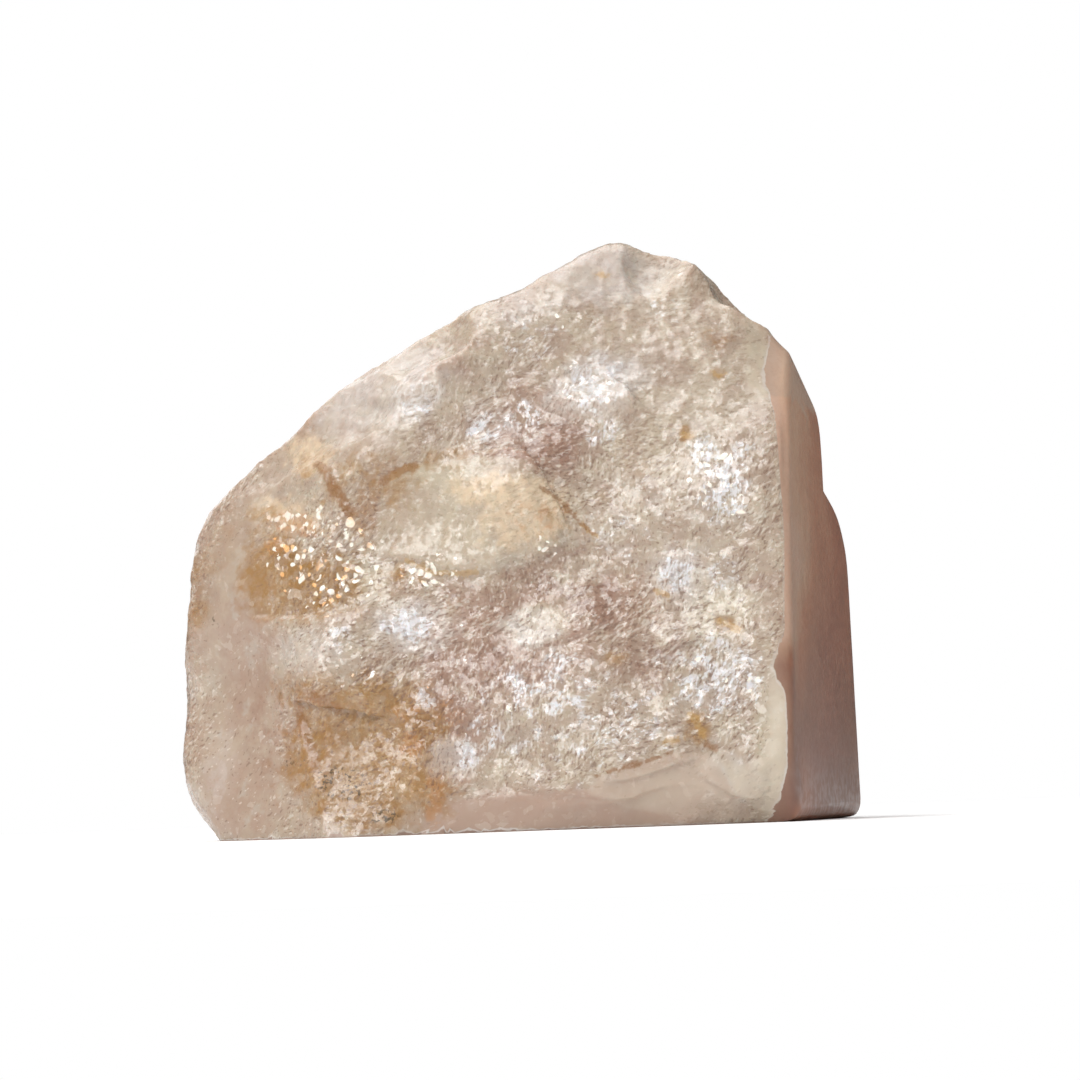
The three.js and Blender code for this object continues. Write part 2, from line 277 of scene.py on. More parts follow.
# the closed surface of a box, as shared corners and outward quads
def boxGrid(size, steps):
    corners = {}
    quads = []

    def quad(*places):
        quads.append(tuple(corners.setdefault(place, len(corners)) for place in places))

    nx, ny, nz = steps
    for a in range(nx):
        for c in range(nz):
            quad((a, 0, c), (a + 1, 0, c), (a + 1, 0, c + 1), (a, 0, c + 1))
            quad((a, ny, c), (a, ny, c + 1), (a + 1, ny, c + 1), (a + 1, ny, c))
        for b in range(ny):
            quad((a, b, 0), (a, b + 1, 0), (a + 1, b + 1, 0), (a + 1, b, 0))
            quad((a, b, nz), (a + 1, b, nz), (a + 1, b + 1, nz), (a, b + 1, nz))
    for b in range(ny):
        for c in range(nz):
            quad((0, b, c), (0, b, c + 1), (0, b + 1, c + 1), (0, b + 1, c))
            quad((nx, b, c), (nx, b + 1, c), (nx, b + 1, c + 1), (nx, b, c + 1))
    return (np.array(list(corners)) / np.array(steps) - 0.5) * np.array(size), quads


# the box is thinner towards its top and left end, as the stone is
def taperedRays(places):
    centre = np.array(form["boxCentre"])
    rays = places + centre
    top = centre[2] + form["boxSize"][2] / 2
    left = form["boxSize"][0] / 2 - centre[0]
    thinTop = 1 - form["boxTaper"] * np.maximum(0, rays[:, 2]) / top
    thinLeft = 1 - form["boxTaper"] * np.maximum(0, -rays[:, 0]) / left
    rays[:, 1] *= thinTop * thinLeft
    return rays


def addObject(name, data):
    made = bpy.data.objects.new(name, data)
    bpy.context.scene.collection.objects.link(made)
    return made


def addShare(mesh, name, share):
    mesh.attributes.new(name, "FLOAT", "POINT").data.foreach_set("value", share.astype(np.float32))


def buildStoneMesh():
    places, quads = boxGrid(form["boxSize"], form["boxSteps"])
    surface, normals, rough = stoneSurface(taperedRays(places))
    middle = np.array((*form["middle"], 0))
    mesh = bpy.data.meshes.new("roseQuartzChunk")
    mesh.from_pydata(((surface - middle) * mm).tolist(), [], quads)
    addShare(mesh, "broken", fractureShare(surface, normals, rough))
    stone = addObject("roseQuartzChunk", mesh)
    group = stone.vertex_groups.new(name="sawnEdges")
    weights = edgeShare(surface)
    for index in np.nonzero(weights > arris["leastWeight"])[0].tolist():
        group.add([index], float(weights[index]), "REPLACE")
    return stone


# What the surface is like from place to place, on the front, in millimetres.
# Spots: x, z, half width, half height, turn in degrees and strength.
patches = {
    "pearl": [
        (5, 18, 15, 9, 5, 0.35), (25, 21, 10, 11, 0, 0.4), (28, 45, 8, 10, 0, 0.3),
        (12, 60, 8, 5, 15, 0.8), (14, 76, 9, 5, 0, 0.8), (-18, 62, 12, 6, 35, 0.7),
        (-14, 60, 7, 5, 30, 0.7), (16, 42, 8, 8, 0, 0.4), (-2, 56, 5, 4, 0, 0.5),
        (-14, 28, 6, 4, 0, 0.8), (22, 33, 5, 5, 0, 0.7), (-9, 10, 4, 3, 0, 0.8),
        (-28, 25, 6, 4, 0, 0.6), (12, 4, 6, 4, 0, 0.4), (-43, 12, 5, 9, 0, 0.5),
        (-33, 62, 8, 4, 40, 0.5), (3, 72, 9, 4, 10, 0.5), (28, 6, 5, 4, 0, 0.6),
        (2, 27, 5, 3, 0, 0.7),
    ],
    "pink": [
        (-2, 25, 14, 9, 0, 0.8), (-10, 13, 7, 8, 0, 0.9), (3, 54, 9, 7, 10, 0.8),
        (0, 33, 9, 3.5, 8, 0.4), (14, 30, 7, 6, 0, 0.7), (16, 22, 8, 5, 0, 0.5),
        (-30, 14, 8, 10, 0, 0.6), (-38, 24, 6, 12, 0, 0.7), (-16, 44, 8, 6, 0, 0.6),
        (0, 2, 16, 4, 0, 0.9), (17, 5, 7, 4, 0, 0.7), (-8, 66, 8, 4, 25, 0.4),
        (18, 50, 6, 5, 0, 0.4), (-40, 6, 8, 6, 0, 0.6),
    ],
    "soft": [
        (22, 64, 17, 12, -10, 0.68), (-20, 62, 20, 8, 35, 1), (14, 75, 10, 6, 0, 0.8),
        (-41, 34, 7, 12, 0, 0.7), (3, 72, 8, 5, 25, 0.5), (-16, 52, 8, 4, 0, 0.5),
    ],
    "calm": [
        (-43, 24, 9, 24, 4, 1), (-39, 6, 8, 8, 0, 0.9), (-30, 58, 12, 8, 40, 0.55),
        (-36, 46, 7, 6, 20, 0.5), (-9, 43.5, 11, 6, 4, 0.2), (2, 1.5, 17, 3.4, 0, 1),
        (17, 4.5, 7, 3.4, 10, 1), (14, 76, 9, 4, 0, 0.35), (27, 6.5, 5, 3.5, -10, 0.7),
        (-26, 12, 5, 5, 0, 0.35), (-41, 38, 5, 8, 0, 0.8), (-21, 55, 6, 5, 0, 0.4),
        (34.6, 10, 2, 11, 0, 0.8), (32, 6, 4, 4, 0, 0.3), (34.5, 63, 2, 8, 0, 0.6),
        (33.5, 32, 2, 5, 0, 0.5),
    ],
    "cream": [
        (-6, 43.5, 14, 7, 4, 0.4), (3, 27.5, 4.5, 3, 10, 0.8), (27, 28, 5, 4, 20, 0.85),
        (26.5, 6, 5, 4, -10, 0.6), (10, 59, 8, 5, 10, 0.35), (22, 51, 9, 6, 20, 0.5),
        (-20, 34, 4, 3.5, 0, 0.7), (9, 45, 2.5, 4, 30, 0.4), (-28, 26, 5, 5, 0, 0.4),
        (34, 63, 2, 7, 0, 0.6), (-9, 49, 9, 3, 5, 0.5), (-4, 8, 5, 3, 10, 0.45),
        (17, 26, 6, 3, 0, 0.3), (31, 15, 4, 6, 0, 0.3), (33.5, 10, 3, 11, 0, 0.7),
        (20, 74, 7, 5, 0, 0.5), (18, 5, 9, 3, 5, 0.6), (-16, 60, 8, 4, 30, 0.4),
    ],
    "frost": [
        (12, 60.5, 4.2, 3, 20, 1), (2, 57, 2.2, 2.4, 0, 0.8), (12.5, 53.5, 3.5, 2, 0, 0.7),
        (-13, 59.5, 3, 3, 0, 0.7), (-2, 55, 4, 2.5, 20, 0.55), (28.5, 44.5, 3.6, 4.5, 0, 0.85),
        (26, 50, 2.6, 2.4, 0, 0.9), (31.5, 50, 2, 2, 0, 0.7), (21.5, 33.5, 2.2, 2.6, 0, 0.8),
        (-14.5, 28, 3, 2, 0, 1), (-7.3, 10, 1.5, 1.5, 0, 1), (-12.5, 18, 1.6, 1.6, 0, 0.9),
        (27, 19, 7.5, 5.5, 0, 0.6), (4, 19, 9, 5, 10, 0.55), (12, 13, 9, 5, 10, 0.5),
        (-3, 13, 6, 4, 0, 0.45), (29, 33, 4, 3, 0, 0.5), (14, 40, 5, 3, 0, 0.35),
        (-24, 27, 3, 2, 0, 0.5), (3, 66, 5, 4, 0, 0.4), (21, 72, 4, 3, 0, 0.4),
        (-33.5, 32, 2.5, 3, 0, 0.5), (12, 6, 3, 1.6, 0, 0.5), (30, 10, 3, 3, 0, 0.4),
    ],
    # deeper pink; the first two spots, under the leaf's lower edge, are painted shadow
    "rosyAndShade": [
        (3.5, 35.6, 6, 1.1, 20, 1), (2, 33.5, 6, 3, 10, 0.65), (7, 31.8, 1.6, 1.2, 0, 1),
        (11, 30, 4, 4, 0, 0.6), (33, 32, 2, 1.6, 0, 0.8), (-10.5, 14, 4, 6, 0, 1),
        (-6, 22, 8, 5, 0, 0.6), (6, 52, 6, 5, 0, 0.6), (0, 60, 4, 3, 0, 0.4),
        (18, 22, 6, 5, 0, 0.5), (-20, 22, 6, 4, 0, 0.4), (4, 3, 14, 3, 0, 0.3),
        (-6, 62, 6, 4, 0, 0.3), (8, 10, 8, 3, 20, 0.2), (-36, 15, 5, 8, 0, 0.35),
        (0, 49, 8, 3, 0, 0.5), (19, 5, 6, 3, 0, 0.15),
    ],
    "apricot": [
        (1.5, 43, 6, 5, 0, 0.9), (-15, 8, 2.2, 3.2, 0, 1), (-28, 53, 4, 3, -30, 0.9),
        (-34, 46, 3, 2, 0, 0.6), (-3, 46, 6, 3, 0, 0.7), (-1, 40, 5, 3, 0, 0.5),
        (-30, 44, 6, 3, -20, 0.6),
    ],
    "ochre": [
        (-20, 11, 10.5, 9.5, 0, 1.15), (-33, 36, 5, 6, 0, 1), (-27, 34, 7, 5, 0, 0.8),
        (4, 42, 2, 2, 0, 0.4), (-15, 8, 3, 4, 0, 0.9), (-27, 52, 3, 4, -30, 0.4),
        (-20, 48, 8, 5, 0, 0.5), (-36, 44, 4, 3, 0, 0.5), (-16, 34.5, 4, 3, 0, 0.5),
        (23.5, 13, 2, 2.4, 0, 0.8), (28.3, 26.5, 2, 1.3, -10, 0.8), (13, 22.5, 2.4, 1.3, 10, 0.6),
        (24, 52.8, 1.3, 1.3, 0, 0.8), (28.5, 61, 1.4, 1.2, 0, 0.6), (13.5, 76.3, 1.6, 1.2, 0, 0.6),
        (29, 66, 3, 2, 0, 0.4), (-8, 51, 6, 2, 5, 0.5), (-22, 41, 4, 4, 0, 0.5),
        (-12, 6, 4, 5, 0, 0.6), (-28, 20, 6, 4, 0, 0.5), (12.5, 44, 2, 3, 30, 0.4),
        (20, 31, 3, 2, 0, 0.4), (17, 49, 3, 3, 0, 0.3), (-39, 8, 4, 3, 0, 0.25),
    ],
    "rust": [
        (-14.5, 12, 1.6, 1.4, 0, 0.9), (-11.5, 6, 1.2, 4, 0, 0.8), (4, 42, 4, 3, 0, 0.45),
        (-30, 43, 4, 1.6, -20, 0.8), (-33, 40, 1.5, 1.5, 0, 0.6), (-9, 16, 2, 2, 0, 0.5),
        (-15, 17, 3, 2, 20, 0.4), (-12, 2.5, 1, 2, 0, 0.6),
    ],
    # glitter: where round glints are painted in, and where the skin is glossier and its little faces lean
    # more
    "glitter": [
        (-26, 37.5, 7, 6, -30, 1), (-31, 43.5, 4.5, 1.8, -20, 0.8), (-11.5, 35.5, 4, 2.2, 8, 0.8),
        (4.7, 38.4, 1.7, 1.5, 0, 1), (-22, 22, 4, 3, 0, 0.33), (11, 60, 5, 4, 0, 0.45),
        (28, 46, 5, 6, 0, 0.5), (27, 19, 8, 6, 0, 0.3), (0, 18, 14, 9, 0, 0.25),
        (-1, 72, 4, 3, 0, 0.3), (7, 68, 3, 3, 0, 0.3),
    ],
    "upright": [
        (-2, 17, 11, 9, 0, 1), (28, 47, 5, 8, 0, 1), (0, 32, 5, 3, 0, 0.8), (21, 33, 3, 4, 0, 1),
    ],
    "level": [(22, 65, 12, 7, -10, 1), (25, 57, 9, 4, 0, 0.9), (20, 12, 9, 4, 10, 0.6)],
    "grit": [
        (-24, 7.2, 4, 2.2, -10, 1), (-18.5, 2.6, 2, 1, 0, 0.9), (-42.3, 30.5, 1, 0.8, 0, 1),
        (-31.5, 10.5, 1, 1, 0, 0.6),
    ],
}

# Outlined areas, as x and z round each one.
areas = {
    "leaf": [
        (-19, 38), (-18, 46), (-17, 49), (-12, 50), (-5, 51), (2, 50), (4, 47), (7, 42),
        (8.5, 39.5), (5, 38), (0, 36.5), (-2, 35.5), (-6, 35), (-10, 35.5), (-14, 37.5),
    ],
    "rimLobe": [
        (26.5, 8.5), (28, 4.5), (31, 2), (33.5, 0.8), (37, 3), (38, 12), (37, 19), (34.5, 22),
        (33.2, 18), (33.5, 12), (31.5, 8.5), (29, 7.5),
    ],
    "shell": [
        (9.5, 6.8), (15, 8), (20, 9.6), (24.5, 9.4), (26.5, 7), (28.5, 3), (31, 1), (24, 0.6),
        (14, 2.6), (9, 4.6),
    ],
    "footStrip": [
        (-14, -1), (-13, 3), (-8, 4.3), (-3, 4.8), (8, 5), (14, 2.8), (24, 0.9), (28, -1),
    ],
}

# Thin dark marks: points of x and z, then half the width. They are brown stain lines, but for ledgeShadow, a
# painted shadow line under the ledge right of the leaf.
darkLines = {
    "brownStreak": ([(-26.6, 51.2), (-25.2, 49.8), (-24.6, 47.6), (-23, 45.8), (-22.4, 44.2)], 0.8),
    "slit": ([(-27.4, 18.9), (-26, 18.3), (-24.4, 17.3)], 0.85),
    "brownLine": ([(-30, 18), (-29.2, 15), (-28.2, 12.2), (-27.5, 9)], 0.7),
    "leafTop": ([(-17.5, 48.2), (-15.5, 49.3), (-13, 50)], 0.7),
    "ledgeShadow": ([(3.8, 46.2), (6.3, 44.6), (8.8, 41.6), (11, 39.4)], 0.28),
    "umberSpot": ([(24.6, 10.4), (25.9, 10.1)], 0.55),
    "facetTop": ([(10, 7), (15, 8.2), (20, 9.7)], 0.22),
}
amberLines = {
    "vein": ([(22.6, 14.6), (23.6, 13.8), (24.4, 11.6)], 0.5),
    "veinFoot": ([(19.5, 11.2), (21.5, 11.6)], 0.5),
    "crumb": ([(27.2, 26.9), (28.4, 26.4), (29.4, 25.9)], 0.5),
    "ledgeEnd": ([(9.4, 41), (10.6, 39.8), (11.4, 39)], 0.4),
    "leafLip": ([(-14.5, 37), (-11, 35.3), (-8, 35), (-5, 35)], 0.4),
    "leafRoot": ([(-16.5, 48.4), (-14.6, 49.6), (-12.6, 50)], 0.5),
    "upperSpeck": ([(23.6, 52.9), (24.4, 52.6)], 0.5),
    "topSpeck": ([(28.2, 61.2), (28.9, 60.8)], 0.45),
    "apexSpeck": ([(13, 76.2), (14, 76.3)], 0.5),
    "rightSpecks": ([(19, 31.6), (20.6, 30.8)], 0.4),
}

# The front's broken skin ends at a line of z and x, where the polished arris begins.
arris = {
    "line": [
        (-2, 33), (1, 33), (3, 34), (7, 35.2), (13, 35.5), (17, 35.3), (21, 33.5), (25, 35.3),
        (35, 35.5), (45, 35.3), (50, 34.5), (55, 34), (60, 33.5), (65, 35), (70, 37),
    ],
    "roughTo": [
        (-2, 33), (1, 33), (3, 34), (7, 35.2), (13, 35.5), (17, 35.5), (21, 33.8), (25, 35.7),
        (28, 35.9), (38, 36.4), (48, 36.2), (55, 36), (61, 35), (65, 36), (70, 38),
    ],
    "blend": 0.5,
    "width": 3,
    "reach": 15,
    "foot": 0.32,
    "footTop": 21,
    "footBlend": 4,
    "topFrom": 57.5,
    "topBlend": 1.5,
    "bevelBlend": 1.6,
    "bevelLeast": 0.4,
    "heelFrom": 40,
    "heelBlend": 4,
    "roundness": 2.6,
    "leastWeight": 0.01,
    "smoothing": 36,
}

# How the marks fade at their edges, and what counts as front, cut and calm.
painting = {
    "patchFall": 0.7,
    "patchPower": 1.5,
    "areaEdge": 1.6,
    "frontTilt": 2.5,
    "frontFrom": 2,
    "frontDepth": 8,
    "cutSide": 0.6,
    "cutBase": 0.25,
    "cutTurn": 0.2,
    "calmHold": 0.75,
}


def patchShare(name, x, z):
    share = np.zeros(len(x))
    for spotX, spotZ, halfWidth, halfHeight, turn, strength in patches[name]:
        c, s = math.cos(math.radians(turn)), math.sin(math.radians(turn))
        across = ((x - spotX) * c + (z - spotZ) * s) / halfWidth
        up = ((z - spotZ) * c - (x - spotX) * s) / halfHeight
        away = (across ** 2 + up ** 2) ** painting["patchPower"]
        share = np.maximum(share, strength * np.exp(-painting["patchFall"] * away))
    return share


def lineShare(lines, x, z):
    share = np.zeros(len(x))
    for line, halfWidth in lines.values():
        off, place, run = nearLine(line, x, z)
        share = np.maximum(share, np.exp(-(off / halfWidth) ** 2))
    return share


def areaShare(outline, x, z):
    inside = np.zeros(len(x), bool)
    closed = [*outline, outline[0]]
    for (ax, az), (bx, bz) in zip(closed[:-1], closed[1:]):
        if az != bz:
            inside ^= ((az > z) != (bz > z)) & (x < ax + (z - az) * (bx - ax) / (bz - az))
    away = np.abs(nearLine(closed, x, z)[0])
    return np.clip(0.5 + np.where(inside, away, -away) / painting["areaEdge"], 0, 1)


# how far right of one of the arris's lines each point lies
def beyondLine(name, x, z):
    return x - np.interp(z, *zip(*arris[name]))


def sawnShare(surface, normals):
    beyond = beyondLine("roughTo", surface[:, 0], surface[:, 2])
    front = eased(beyond / arris["blend"] + 0.5) * (normals[:, 1] < painting["cutTurn"])
    side = np.maximum(front, eased(1 - insideSide(surface) / painting["cutSide"]))
    return np.maximum(side, eased(1 - surface[:, 2] / painting["cutBase"]))


# how near a point is to an edge between two cut faces, or between the polished side and the front
def edgeShare(surface):
    def near(distance):
        return np.clip(1 - distance / arris["roundness"], 0, 1)

    x, y, z = surface.T
    front = near(np.abs(beyondLine("line", x, z) - arris["width"] / 2)) * (y < 0)
    foot = near(np.maximum(insideSide(surface), z))
    heel = near(z) * np.clip((x - arris["heelFrom"]) / arris["heelBlend"], 0, 1)
    return np.maximum(front, np.maximum(foot, heel))


def fractureShare(surface, normals, rough):
    calm = patchShare("calm", surface[:, 0], surface[:, 2]) * np.clip(-normals[:, 1], 0, 1)
    return rough * (1 - sawnShare(surface, normals)) * (1 - painting["calmHold"] * calm)


# Fine breakage by geometry nodes: bowls, chips and grain on the broken faces.
breakage = {
    "Bowl Size": 3.0 * mm,
    "Bowl Depth": 0.3 * mm,
    "Chip Size": 1.5 * mm,
    "Chip Depth": 0.13 * mm,
    "Grain Size": 0.9 * mm,
    "Grain Depth": 0.07 * mm,
    "Warp": 0.7,
    "Seed": 7,
}
breakageMaking = {
    "seedStep": (0.31, 0.17, 0.23),
    "warpScale": 0.45,
    "bowlLevel": 0.3,
    "chipLevel": 0.6,
    "grainGain": 4,
    "triangles": 192000,
}


def joinNodes(tree, *pairs):
    for source, target in pairs:
        tree.links.new(source, target)


# a plain value is set on the socket, another node's output is linked to it
def feed(tree, socket, value):
    if isinstance(value, bpy.types.NodeSocket):
        tree.links.new(value, socket)
    elif value is not None:
        socket.default_value = value


def mathNode(tree, operation, *values):
    made = tree.nodes.new("ShaderNodeMath")
    made.operation = operation
    for socket, value in zip(made.inputs, values):
        feed(tree, socket, value)
    return made.outputs[0]


def vectorNode(tree, operation, first, second=None, scale=None):
    made = tree.nodes.new("ShaderNodeVectorMath")
    made.operation = operation
    feed(tree, made.inputs[0], first)
    feed(tree, made.inputs[1], second)
    if operation == "SCALE":
        feed(tree, made.inputs["Scale"], scale)
    return made.outputs[0]


def noiseNode(tree, vector, scale, detail, roughness=0.5):
    made = tree.nodes.new("ShaderNodeTexNoise")
    given = {"Vector": vector, "Scale": scale, "Detail": detail, "Roughness": roughness}
    for key, value in given.items():
        feed(tree, made.inputs[key], value)
    return made.outputs


def voronoiNode(tree, vector, scale, distance="EUCLIDEAN"):
    made = tree.nodes.new("ShaderNodeTexVoronoi")
    made.distance = distance
    feed(tree, made.inputs["Vector"], vector)
    feed(tree, made.inputs["Scale"], scale)
    return made.outputs


def softStep(tree, value, low, high):
    made = tree.nodes.new("ShaderNodeMapRange")
    made.interpolation_type = "SMOOTHSTEP"
    for key, given in (("Value", value), ("From Min", low), ("From Max", high)):
        feed(tree, made.inputs[key], given)
    return made.outputs[0]


# a place pushed about by noise; start is given where the noise is read somewhere else
def pushedPlace(tree, place, scale, detail, push, start=None):
    noise = noiseNode(tree, place, scale, detail)["Color"]
    drift = vectorNode(tree, "SUBTRACT", noise, (0.5, 0.5, 0.5))
    moved = place if start is None else start
    return vectorNode(tree, "ADD", moved, vectorNode(tree, "SCALE", drift, scale=push))


def breakageTree():
    making = breakageMaking
    tree = bpy.data.node_groups.new("brokenCrystalSkin", "GeometryNodeTree")
    tree.is_modifier = True
    tree.interface.new_socket("Geometry", in_out="INPUT", socket_type="NodeSocketGeometry")
    for name in breakage:
        tree.interface.new_socket(name, in_out="INPUT", socket_type="NodeSocketFloat")
    tree.interface.new_socket("Material", in_out="INPUT", socket_type="NodeSocketMaterial")
    tree.interface.new_socket("Geometry", in_out="OUTPUT", socket_type="NodeSocketGeometry")
    given = tree.nodes.new("NodeGroupInput").outputs
    result = tree.nodes.new("NodeGroupOutput").inputs

    def heightOf(pattern, level, depth):
        return mathNode(tree, "MULTIPLY", mathNode(tree, "SUBTRACT", pattern, level), depth)

    position = tree.nodes.new("GeometryNodeInputPosition").outputs[0]
    away = vectorNode(tree, "SCALE", making["seedStep"], scale=given["Seed"])
    start = vectorNode(tree, "ADD", position, away)
    wide = mathNode(tree, "DIVIDE", making["warpScale"], given["Bowl Size"])
    push = mathNode(tree, "MULTIPLY", given["Warp"], given["Bowl Size"])
    warped = pushedPlace(tree, start, wide, 2, push)
    bowlScale, chipScale, grainScale = (
        mathNode(tree, "DIVIDE", 1, given[name + " Size"]) for name in ("Bowl", "Chip", "Grain")
    )
    bowl = mathNode(tree, "POWER", voronoiNode(tree, warped, bowlScale)["Distance"], 2)
    chip = voronoiNode(tree, warped, chipScale, "MANHATTAN")["Distance"]
    grain = noiseNode(tree, start, grainScale, 2)[0]
    grainDepth = mathNode(tree, "MULTIPLY", given["Grain Depth"], making["grainGain"])
    height = mathNode(tree, "ADD", heightOf(bowl, making["bowlLevel"], given["Bowl Depth"]),
                      heightOf(chip, making["chipLevel"], given["Chip Depth"]))
    height = mathNode(tree, "ADD", height, heightOf(grain, 0.5, grainDepth))

    named = tree.nodes.new("GeometryNodeInputNamedAttribute")
    named.data_type = "FLOAT"
    named.inputs["Name"].default_value = "broken"
    share = mathNode(tree, "MULTIPLY", height, named.outputs[0])
    normal = tree.nodes.new("GeometryNodeInputNormal").outputs[0]
    move = tree.nodes.new("GeometryNodeSetPosition")
    realize = tree.nodes.new("GeometryNodeRealizeInstances")
    paint = tree.nodes.new("GeometryNodeSetMaterial")
    joinNodes(
        tree,
        (given["Geometry"], move.inputs["Geometry"]),
        (vectorNode(tree, "SCALE", normal, scale=share), move.inputs["Offset"]),
        (move.outputs[0], realize.inputs[0]),
        (realize.outputs[0], paint.inputs["Geometry"]),
        (given["Material"], paint.inputs["Material"]),
        (paint.outputs[0], result[0]),
    )
    return tree


def setInput(modifier, name, value):
    for item in modifier.node_group.interface.items_tree:
        if item.in_out == "INPUT" and item.name == name:
            modifier[item.identifier] = value


def finishStone(stone, material):
    skin = stone.modifiers.new("brokenSkin", "NODES")
    skin.node_group = breakageTree()
    for name, value in breakage.items():
        setInput(skin, name, value)
    setInput(skin, "Material", material)
    soft = stone.modifiers.new("softenedEdges", "SMOOTH")
    soft.vertex_group = "sawnEdges"
    soft.factor = 0.5
    soft.iterations = arris["smoothing"]
    thin = stone.modifiers.new("thin", "DECIMATE")
    thin.ratio = breakageMaking["triangles"] / (2 * len(stone.data.polygons))
    evaluated = stone.evaluated_get(bpy.context.evaluated_depsgraph_get())
    plain = bpy.data.meshes.new_from_object(evaluated)
    stone.modifiers.clear()
    rough = stone.data
    stone.data = plain
    bpy.data.meshes.remove(rough)
    plain.name = "roseQuartzChunk"
    plain.shade_smooth()


def paintShares(stone):
    mesh = stone.data
    places = np.empty(len(mesh.vertices) * 3)
    mesh.vertices.foreach_get("co", places)
    surface = places.reshape(-1, 3) / mm + np.array((*form["middle"], 0))
    normals = np.empty(len(mesh.vertices) * 3)
    mesh.vertex_normals.foreach_get("vector", normals)
    normals = normals.reshape(-1, 3)
    x, y, z = surface.T
    front = np.clip(0.5 - painting["frontTilt"] * normals[:, 1], 0, 1)
    front = front * eased((painting["frontFrom"] - y) / painting["frontDepth"])
    low = 1 - eased((z - arris["footTop"]) / arris["footBlend"])
    bevel = 1 - eased((beyondLine("line", x, z) - arris["width"]) / arris["bevelBlend"] + 0.5)
    inward = beyondLine("roughTo", x, z) / arris["reach"] + arris["foot"] * low
    shares = {name: patchShare(name, x, z) * front for name in patches}
    shares.update({name: areaShare(outline, x, z) * front for name, outline in areas.items()})
    shares["mark"] = lineShare(darkLines, x, z) * front
    shares["amber"] = lineShare(amberLines, x, z) * front
    shares["sawn"] = sawnShare(surface, normals)
    shares["front"] = front
    shares["inward"] = np.clip(inward, 0, 1)
    shares["bevel"] = bevel * (arris["bevelLeast"] + (1 - arris["bevelLeast"]) * low)
    shares["sawnTop"] = eased((z - arris["topFrom"]) / arris["topBlend"] + 0.5)
    for name, share in shares.items():
        addShare(mesh, name, share)


# The stone's colours.
quartz = {
    "pale": (0.46, 0.365, 0.285),
    "mauve": (0.34, 0.225, 0.165),
    "pink": (0.37, 0.225, 0.165),
    "pearl": (0.62, 0.56, 0.52),
    "ash": (0.46, 0.415, 0.36),
    "veil": (0.41, 0.30, 0.225),
    "rosyAndShade": (0.25, 0.13, 0.09),
    "cream": (0.56, 0.48, 0.36),
    "apricot": (0.78, 0.60, 0.40),
    "ochre": (0.33, 0.17, 0.045),
    "rust": (0.52, 0.23, 0.07),
    "frostSilverAndSheen": (0.84, 0.84, 0.865),
    "warmHighlight": (0.84, 0.78, 0.70),
    "stainedHighlight": (0.50, 0.34, 0.17),
    "paintedGlint": (1.0, 0.93, 0.82),
    "paintedAmberGlint": (0.95, 0.52, 0.22),
    "hollow": (0.20, 0.115, 0.08),
    "umberAndShadow": (0.26, 0.12, 0.04),
    "grit": (0.09, 0.06, 0.03),
    "amber": (0.52, 0.31, 0.09),
    "leaf": (0.60, 0.54, 0.40),
    "rimLobe": (0.62, 0.545, 0.44),
    "shell": (0.52, 0.41, 0.325),
    "footStrip": (0.44, 0.31, 0.24),
    "bevelShade": (0.06, 0.04, 0.045),
    "sawnTop": (0.50, 0.355, 0.26),
    "sawnBands": [
        (0.0, (0.60, 0.40, 0.29)),
        (0.22, (0.53, 0.32, 0.205)),
        (0.42, (0.43, 0.205, 0.118)),
        (0.7, (0.33, 0.128, 0.068)),
        (1.0, (0.215, 0.080, 0.036)),
    ],
}
# The crystal skin's pattern. Noise is its scale, its detail and its roughness.
crystal = {
    "driftNoise": (1 / (5 * mm), 2),
    "drift": 2.4 * mm,
    "elsewhere": (0.31, 0.12, 0.47),  # a place so far off that its noise is another
    "shard": (6 * mm, 1.1),  # a kind of cell: its size and how it is warped
    "chip": (2.3 * mm, 0.9),
    "face": (0.7 * mm, 0.8),
    "flake": (1.3 * mm, 1.3),
    "smallFlake": (0.65 * mm, 1.2),
    "faceDrift": 1.1,
    "flakeDrift": 0.7,
    "flakeEdge": (-0.08, 0.12),
    "wrinkle": (1.2 * mm, 1.5),  # its size and detail
    "fineWrinkle": (0.7 * mm, 1.0),
    "fineGain": 0.85,
    "wrinkleRoughness": 0.55,
    "stretch": 0.66,
    "lightShift": (-0.12 * mm, 0, 0.15 * mm),
    "contrast": 8.0,
    "softness": 0.45,
    "flank": (-2.0, 1.2),
    "paintedGlint": 1.1 * mm,
    "sparkSize": 0.46,
    "sparkEdge": 3,
    "jitterNoise": (900, 0),
    "jitter": 1.0 * mm,
    "tearNoise": (450, 3, 0.62),
    "fineTearNoise": (950, 2, 0.62),
    "tearEdge": (0.22, 0.72),
    "leastShare": 0.01,
    "bumpNoise": (1 / (1.2 * mm), 2, 0.6),
    "bumpDepth": 0.12 * mm,
    "sawStreak": 0.08,
}
# How ragged each mark's edge is, and the marks that are torn finely.
tears = {
    "pearl": 0.9, "pink": 0.8, "rosyAndShade": 1.1, "cream": 0.9, "apricot": 1.3, "ochre": 1.2, "rust": 1.6,
    "frost": 2.0, "glitter": 1.0, "grit": 0.4, "amber": 1.8, "mark": 1.3, "sawnTop": 0.2,
    "leaf": 0.35, "rimLobe": 0.35, "shell": 0.35, "footStrip": 0.35,
}
finelyTorn = ("rust", "amber", "mark")
# Clouds: size in millimetres, detail, and where the fade starts and ends.
clouds = {
    "wide": (9, 3, 0.4, 0.6),
    "flecks": (1.3, 2, 0.36, 0.64),
    "speckle": (0.65, 2, 0.56, 0.62),
    "streaks": (1.6, 3, 0.35, 0.7),
    "wander": (14, 2, 0.3, 0.7),
    "blush": (0.5, 2, 0.45, 0.7),
}
wildCloud = (13, 3)
mottleCloud = (3.3, 3)
cloudRoughness = 0.58
